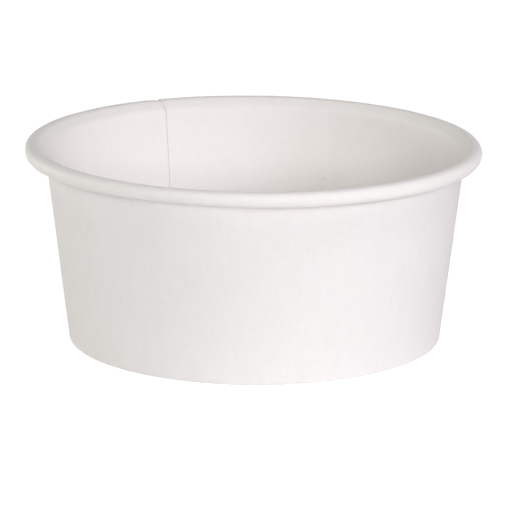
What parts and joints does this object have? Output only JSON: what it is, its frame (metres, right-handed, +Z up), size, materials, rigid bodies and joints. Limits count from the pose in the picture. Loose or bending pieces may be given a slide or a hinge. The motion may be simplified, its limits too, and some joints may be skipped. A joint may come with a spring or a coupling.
{
  "type": "paper salad bowl",
  "caption": "Round paperboard salad bowl with a flared wall, a rolled rim, a lapped side seam and a recessed base.",
  "frame": {"origin": "on the bowl's axis, on the surface that its foot stands on", "axes": "+Z up along the bowl's axis, out of its mouth; +Y to the side away from the viewer, with the side seam at the back left"},
  "size_m": [0.15, 0.15, 0.0655],
  "materials": {
    "wall_board": "coated paperboard, matt outside and satin inside",
    "base_board": "coated paperboard, satin"
  },
  "bodies": {
    "root": {"sidewall": "wall_board", "base_disc": "base_board"}
  },
  "joints": []
}
